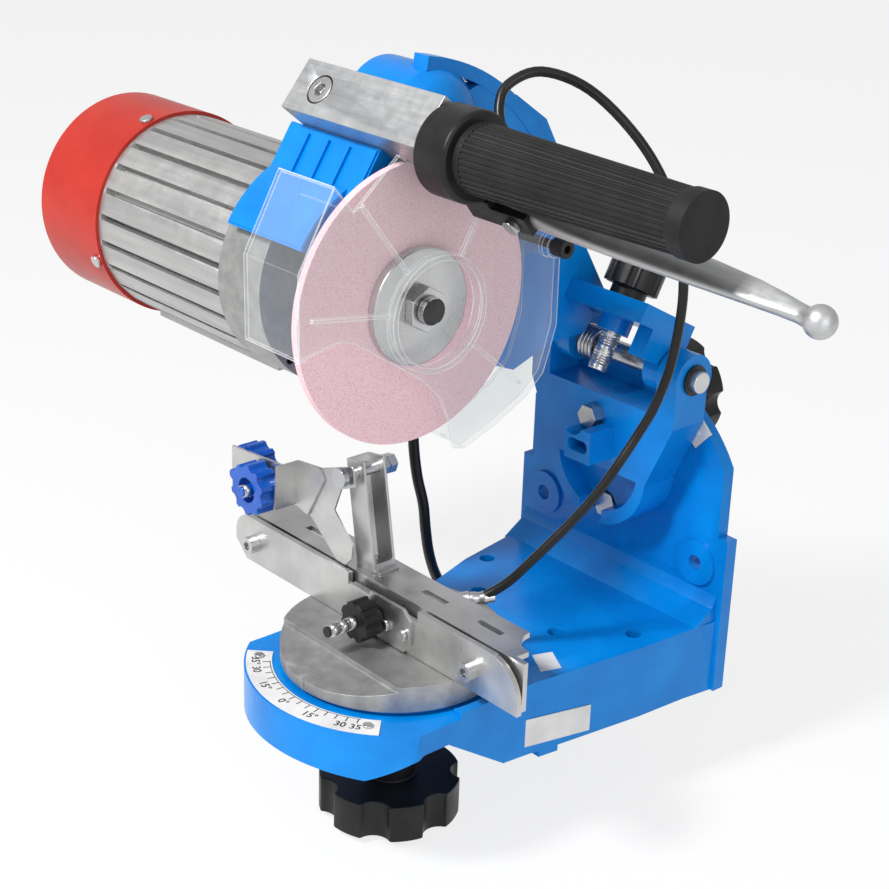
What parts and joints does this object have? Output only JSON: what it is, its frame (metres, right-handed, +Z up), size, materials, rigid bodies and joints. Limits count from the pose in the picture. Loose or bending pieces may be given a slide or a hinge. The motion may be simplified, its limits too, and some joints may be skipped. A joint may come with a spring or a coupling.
{
  "type": "chain grinder",
  "caption": "Bench grinder for saw chains: a thin wheel on a swinging, tilting motor head over a turning two-plate chain vise, with a side handle and brake lever.",
  "frame": {"origin": "midway between the two rear bench bolts, on the bench surface", "axes": "+Z up, +Y towards the upright wall at the back, +X to the right along the vise"},
  "size_m": [0.4924, 0.3906, 0.4038],
  "materials": {
    "blue_paint": "gloss",
    "grey_casting": "satin",
    "zinc_plate": "satin",
    "steel": "satin",
    "aluminium": "satin",
    "black_plastic": "matte",
    "black_rubber": "matte",
    "black_oxide": "satin",
    "blue_plastic": "gloss",
    "red_paint": "gloss",
    "abrasive": "matte",
    "clear_plastic": "gloss",
    "copper": "satin",
    "printed_plate": "satin"
  },
  "bodies": {
    "base": {"base_casting": "blue_paint", "scale_plate": "printed_plate", "scale_rivets": "steel", "index_plate": "printed_plate", "mains_cord": "black_rubber", "cord_coil": "black_rubber", "cord_plug": "black_plastic"},
    "clamp": {"clamp_knob": "black_plastic"},
    "disc": {"turntable": "grey_casting", "vise_block": "grey_casting", "rear_jaw": "zinc_plate", "stop_post": "zinc_plate", "post_bolt": "steel", "cable_end": "steel", "clamp_bolt": "steel", "clamp_washer": "steel"},
    "front_jaw": {"front_jaw": "zinc_plate", "jaw_bolts": "steel", "slide_bracket": "zinc_plate", "slide_screws": "steel"},
    "slide_knob": {"slide_knob": "black_plastic"},
    "pawl": {"pawl": "zinc_plate", "pawl_arm": "zinc_plate"},
    "front_adjuster": {"front_adjuster": "blue_plastic"},
    "rear_adjuster": {"rear_adjuster": "blue_plastic"},
    "bracket": {"tilt_bracket": "blue_paint", "tilt_pivot": "steel", "lock_bolt": "steel", "hinge_pin": "steel", "circlips": "black_oxide", "return_spring": "steel"},
    "lock_knob": {"lock_knob": "black_plastic"},
    "head": {"head_casting": "blue_paint", "end_shield": "grey_casting", "motor_housing": "grey_casting", "rear_shield": "grey_casting", "fan_cover": "red_paint", "cover_screws": "steel", "stator": "copper", "bearings": "steel", "guard": "clear_plastic", "guard_screws": "black_oxide", "handle_block": "aluminium", "block_screw": "steel", "collar": "black_plastic", "handle_bar": "steel", "grip": "black_rubber", "lever_perch": "black_plastic", "lever_pin": "steel", "brake_cable": "black_rubber"},
    "rotor": {"rotor": "steel", "shaft": "steel", "fan": "black_plastic", "inner_flange": "steel", "wheel": "abrasive", "outer_flange": "steel", "wheel_nut": "steel"},
    "depth_screw": {"depth_screw": "steel"},
    "depth_knob": {"depth_knob": "black_plastic"},
    "lever": {"lever": "aluminium"}
  },
  "joints": [
    {"name": "disc_swivel", "type": "hinge", "parent": "base", "child": "disc", "pos_m": [-0.004, -0.118, 0.05], "axis": [0, 0, 1], "range_deg": [-35, 35], "deforming": ["brake_cable"]},
    {"name": "clamp_turn", "type": "hinge", "parent": "disc", "child": "clamp", "pos_m": [-0.004, -0.118, -0.04], "axis": [0, 0, 1], "range_deg": [-180, 180]},
    {"name": "jaw_close", "type": "slide", "parent": "disc", "child": "front_jaw", "axis": [0, 1, 0], "range_m": [0, 0.0015]},
    {"name": "slide_knob_turn", "type": "hinge", "parent": "front_jaw", "child": "slide_knob", "pos_m": [-0.004, -0.138, 0.071], "axis": [0, 1, 0], "range_deg": [-180, 180]},
    {"name": "pawl_lift", "type": "hinge", "parent": "disc", "child": "pawl", "pos_m": [-0.0372, -0.118, 0.1362], "axis": [0, 1, 0], "range_deg": [0, 30]},
    {"name": "front_adjuster_turn", "type": "hinge", "parent": "pawl", "child": "front_adjuster", "pos_m": [-0.094, -0.138, 0.114], "axis": [0, 1, 0], "range_deg": [-180, 180]},
    {"name": "rear_adjuster_turn", "type": "hinge", "parent": "pawl", "child": "rear_adjuster", "pos_m": [-0.116, -0.128, 0.114], "axis": [0, 1, 0], "range_deg": [-180, 180]},
    {"name": "head_tilt", "type": "hinge", "parent": "base", "child": "bracket", "pos_m": [0, 0.047, 0.09], "axis": [0, 1, 0], "range_deg": [-10, 35], "deforming": ["brake_cable", "mains_cord"]},
    {"name": "lock_knob_turn", "type": "hinge", "parent": "bracket", "child": "lock_knob", "pos_m": [0, 0.077, 0.148], "axis": [0, 1, 0], "range_deg": [-180, 180]},
    {"name": "head_swing", "type": "hinge", "parent": "bracket", "child": "head", "pos_m": [-0.004, 0.0355, 0.1818], "axis": [1, 0, 0], "range_deg": [0, 17], "deforming": ["brake_cable", "mains_cord"]},
    {"name": "wheel_spin", "type": "hinge", "parent": "head", "child": "rotor", "pos_m": [-0.004, -0.1115, 0.237], "axis": [1, 0, 0], "continuous": true},
    {"name": "depth_adjust", "type": "slide", "parent": "head", "child": "depth_screw", "axis": [0, 0.4695, 0.8829], "range_m": [-0.012, 0.01]},
    {"name": "depth_knob_turn", "type": "hinge", "parent": "head", "child": "depth_knob", "pos_m": [0.005, 0.03736, 0.22045], "axis": [0, 0.4695, 0.8829], "range_deg": [-2400, 2880]},
    {"name": "lever_squeeze", "type": "hinge", "parent": "head", "child": "lever", "pos_m": [0.06, -0.09921, 0.29707], "axis": [0, -0.788, -0.6157], "range_deg": [0, 6], "stiffness_Nm_per_rad": 2, "springref_deg": -5.73}
  ],
  "couplings": [
    {"joint": "jaw_close", "follows": "lever_squeeze", "m_per_rad": 0.014324},
    {"joint": "depth_knob_turn", "follows": "depth_adjust", "rad_per_m": -4188.7}
  ]
}
